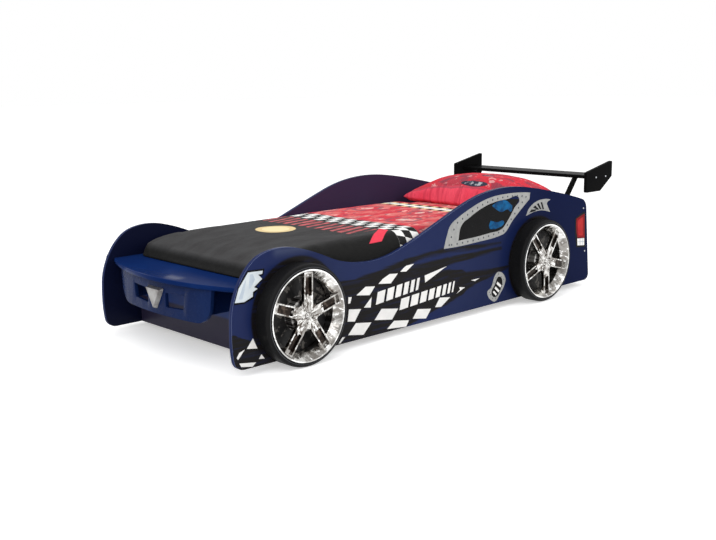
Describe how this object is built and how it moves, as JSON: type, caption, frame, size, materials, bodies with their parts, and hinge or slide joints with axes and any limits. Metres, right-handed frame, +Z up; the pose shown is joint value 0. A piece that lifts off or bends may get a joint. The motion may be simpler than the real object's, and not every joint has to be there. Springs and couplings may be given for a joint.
{
  "type": "racing car bed",
  "caption": "Single bed for a child between two side panels cut as a racing car, with dished wheels, a bowed bonnet shelf, a spoiler, a mattress, a quilt and a pillow.",
  "frame": {"origin": "the middle of the rectangle of floor that the bed covers, on the floor", "axes": "+X along the bed from the nose to the spoiler, +Y across it, +Z up"},
  "size_m": [2.568, 1.091, 0.6352],
  "materials": {
    "painted_panel": "board with a printed gloss face, dark blue with black and white shapes",
    "painted_board": "gloss dark blue lacquer",
    "spoiler_board": "gloss black lacquer",
    "bumper_board": "gloss dark blue lacquer",
    "badge_plastic": "bright",
    "tyre_plastic": "satin",
    "bright_plastic": "chrome-plated",
    "black_plastic": "matt",
    "screw_steel": "bright",
    "bare_timber": "planed pine",
    "mattress_ticking": "woven",
    "quilt_cloth": "printed cotton",
    "pillow_cloth": "printed cotton"
  },
  "bodies": {
    "bed_frame": {"beam_leg_front": "bare_timber", "beam_leg_rear": "bare_timber", "bonnet_shelf": "painted_board", "bumper_face": "bumper_board", "bumper_gusset_far": "bumper_board", "bumper_gusset_near": "bumper_board", "centre_beam": "bare_timber", "corner_cleats": "bare_timber", "front_board": "painted_board", "front_leg_far": "bare_timber", "front_leg_near": "bare_timber", "grille_badge": "badge_plastic", "headboard": "painted_board", "hub_caps": "bright_plastic", "leg_glides": "black_plastic", "panel_screws": "screw_steel", "rear_leg_far": "bare_timber", "rear_leg_near": "bare_timber", "rim_front_far": "bright_plastic", "rim_front_near": "bright_plastic", "rim_rear_far": "bright_plastic", "rim_rear_near": "bright_plastic", "side_panel_far": "painted_panel", "side_panel_near": "painted_panel", "side_rail_far": "bare_timber", "side_rail_near": "bare_timber", "slat_01": "bare_timber", "slat_02": "bare_timber", "slat_03": "bare_timber", "slat_04": "bare_timber", "slat_05": "bare_timber", "slat_06": "bare_timber", "slat_07": "bare_timber", "slat_08": "bare_timber", "slat_09": "bare_timber", "slat_10": "bare_timber", "slat_11": "bare_timber", "slat_12": "bare_timber", "slat_13": "bare_timber", "spoiler_end_plate_far": "spoiler_board", "spoiler_end_plate_near": "spoiler_board", "spoiler_screws": "screw_steel", "spoiler_strut_far": "spoiler_board", "spoiler_strut_near": "spoiler_board", "spoiler_wing": "spoiler_board", "tyre_front_far": "tyre_plastic", "tyre_front_near": "tyre_plastic", "tyre_rear_far": "tyre_plastic", "tyre_rear_near": "tyre_plastic", "wheel_backing_front_far": "black_plastic", "wheel_backing_front_near": "black_plastic", "wheel_backing_rear_far": "black_plastic", "wheel_backing_rear_near": "black_plastic", "wheel_nuts": "bright_plastic"},
    "mattress": {"mattress": "mattress_ticking"},
    "quilt": {"quilt": "quilt_cloth"},
    "pillow": {"pillow": "pillow_cloth"}
  },
  "joints": [
    {"name": "mattress_lift", "type": "slide", "parent": "bed_frame", "child": "mattress", "axis": [0, 0, 1], "range_m": [0, 0.45]},
    {"name": "quilt_lift", "type": "slide", "parent": "mattress", "child": "quilt", "axis": [0, 0, 1], "range_m": [0, 0.3]},
    {"name": "pillow_lift", "type": "slide", "parent": "quilt", "child": "pillow", "axis": [0, 0, 1], "range_m": [0, 0.3]}
  ]
}
